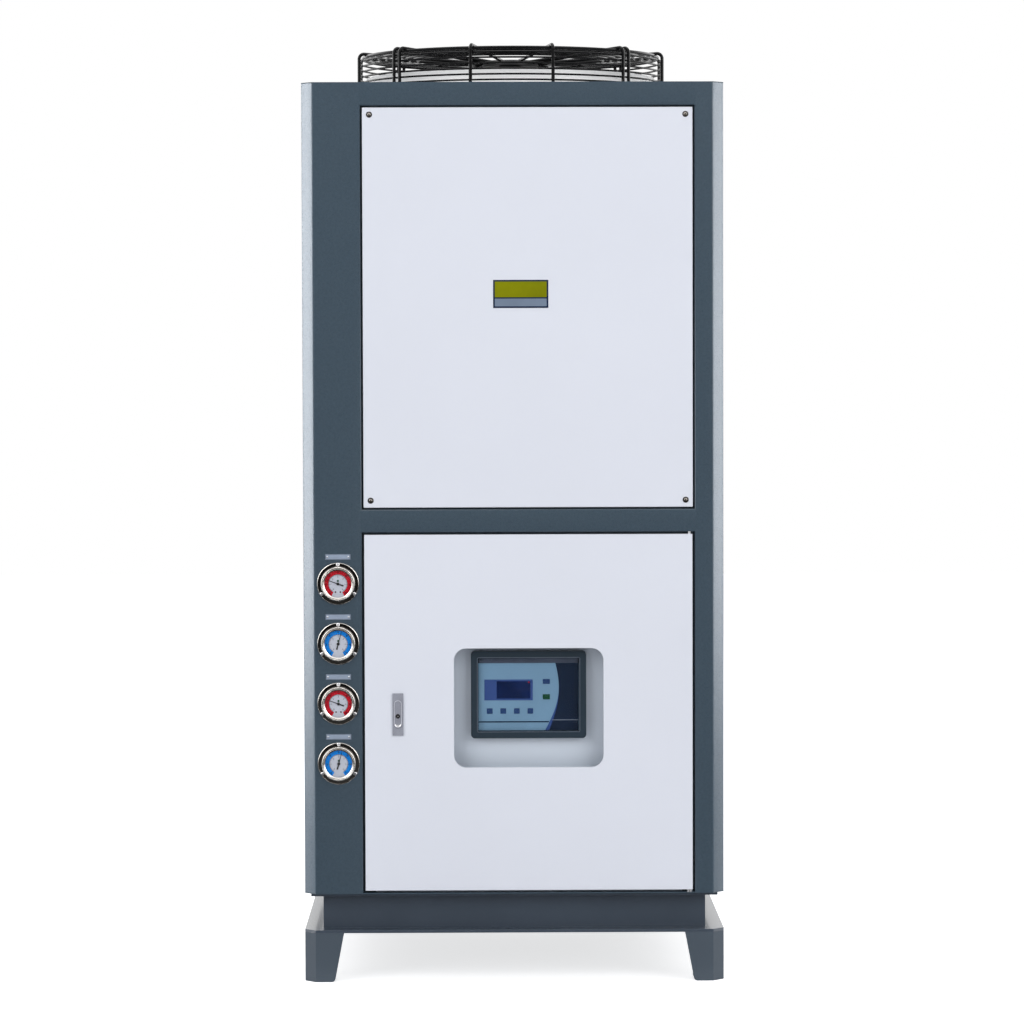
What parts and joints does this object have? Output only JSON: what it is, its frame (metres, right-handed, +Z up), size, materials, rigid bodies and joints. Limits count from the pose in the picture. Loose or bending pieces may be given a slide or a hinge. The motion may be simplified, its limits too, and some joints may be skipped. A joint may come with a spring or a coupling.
{
  "type": "air cooled water chiller",
  "caption": "Tall floor standing air cooled water chiller: folded steel cabinet on a channel base with feet, side condenser coils, guarded top fan, hinged control door and pressure gauges.",
  "frame": {"origin": "floor level, under the middle of the object's outline", "axes": "+Z up, -Y towards the front with the door and gauges, +X to the right seen from the front"},
  "size_m": [0.855, 0.897, 1.915],
  "materials": {
    "frame_paint": "textured powder coat",
    "panel_paint": "satin powder coat",
    "fascia_paint": "satin",
    "housing_plastic": "moulded, satin",
    "keypad_film": "printed film",
    "clear_window": "clear plastic",
    "gauge_chrome": "polished",
    "dial_face": "matt print",
    "needle_paint": "matt",
    "gauge_glass": "clear",
    "lock_chrome": "polished",
    "guard_paint": "plastic coated wire",
    "motor_paint": "satin",
    "impeller_paint": "satin",
    "coil_fins": "bare fins",
    "hinge_steel": "zinc plated",
    "socket_brass": "machined",
    "gland_plastic": "moulded"
  },
  "bodies": {
    "chiller": {"front_base_channel": "frame_paint", "rear_base_channel": "frame_paint", "side_base_channels": "frame_paint", "front_feet": "frame_paint", "rear_feet": "frame_paint", "base_pan": "frame_paint", "front_left_post": "frame_paint", "front_right_post": "frame_paint", "rear_posts": "frame_paint", "front_top_rail": "frame_paint", "front_middle_rail": "frame_paint", "side_top_rails": "frame_paint", "side_middle_rails": "frame_paint", "rear_rails": "frame_paint", "top_cover": "frame_paint", "middle_deck": "frame_paint", "upper_front_panel": "panel_paint", "upper_rear_panel": "panel_paint", "lower_rear_panel": "panel_paint", "lower_left_panel": "panel_paint", "lower_right_panel": "panel_paint", "fan_collar": "panel_paint", "control_fascia": "fascia_paint", "controller_housing": "housing_plastic", "controller_keypad": "keypad_film", "controller_window": "clear_window", "gauge_cases": "gauge_chrome", "gauge_dials": "dial_face", "gauge_needles": "needle_paint", "gauge_lenses": "gauge_glass", "fan_guard_rings": "guard_paint", "fan_guard_hoops": "guard_paint", "fan_guard_arms": "guard_paint", "fan_motor": "motor_paint", "left_condenser_coil": "coil_fins", "right_condenser_coil": "coil_fins", "door_hinge_pins": "hinge_steel", "water_inlet_socket": "socket_brass", "water_outlet_socket": "socket_brass", "cable_gland": "gland_plastic"},
    "door": {"front_door": "panel_paint", "door_lock_plate": "lock_chrome", "door_lock_handle": "lock_chrome"},
    "fan": {"fan_impeller": "impeller_paint"}
  },
  "joints": [
    {"name": "door_hinge", "type": "hinge", "parent": "chiller", "child": "door", "pos_m": [0.357, -0.4295, 0.55], "axis": [0, 0, 1], "range_deg": [0, 110]},
    {"name": "fan_spin", "type": "hinge", "parent": "chiller", "child": "fan", "pos_m": [0, -0.008, 1.8], "axis": [0, 0, 1], "continuous": true}
  ]
}
